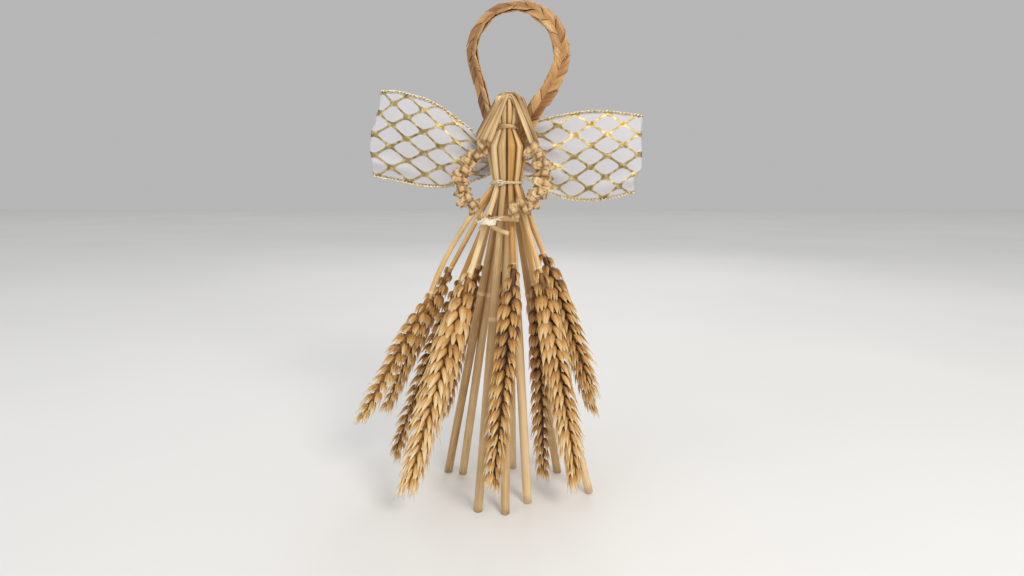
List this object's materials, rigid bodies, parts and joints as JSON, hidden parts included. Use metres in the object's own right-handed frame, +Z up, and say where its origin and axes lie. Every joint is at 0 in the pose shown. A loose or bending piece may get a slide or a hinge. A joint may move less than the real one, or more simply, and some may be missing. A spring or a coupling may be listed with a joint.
{
  "type": "straw angel ornament",
  "caption": "Straw angel ornament standing on its own straws, with a skirt of wheat ears, plaited halo and arms, flat straw hair and gathered ribbon wings.",
  "frame": {"origin": "on the ground, under the middle of the overall box", "axes": "+Z up; the angel faces -Y; +X is on the viewer's right"},
  "size_m": [0.1534, 0.0898, 0.2625],
  "materials": {
    "straw": "dried wheat straw, satin sheen",
    "chaff": "dried wheat ears, matt",
    "raffia": "pale raffia and thread",
    "gauze": "white satin gauze ribbon with a metallic net print"
  },
  "bodies": {
    "root": {"wheat_stalk_front": "chaff", "wheat_stalk_front_right": "chaff", "wheat_stalk_inner_right": "chaff", "wheat_stalk_right": "chaff", "wheat_stalk_rear_right": "chaff", "wheat_stalk_back_right": "chaff", "wheat_stalk_back": "chaff", "wheat_stalk_back_left": "chaff", "wheat_stalk_rear_left": "chaff", "wheat_stalk_inner_left": "chaff", "wheat_stalk_left": "chaff", "wheat_stalk_front_left": "chaff", "leg_straw_front_right": "straw", "leg_straw_right": "straw", "leg_straw_back_right": "straw", "leg_straw_back": "straw", "leg_straw_back_left": "straw", "leg_straw_left": "straw", "leg_straw_front_left": "straw", "leg_straw_front": "straw", "hair_straw_1": "straw", "hair_straw_2": "straw", "hair_straw_3": "straw", "hair_straw_4": "straw", "hair_straw_5": "straw", "hair_straw_6": "straw", "halo_plait": "straw", "arm_left": "straw", "arm_right": "straw", "neck_tie": "raffia", "waist_tie": "raffia", "wrist_tie": "raffia", "wing_ribbon": "gauze"}
  },
  "joints": []
}
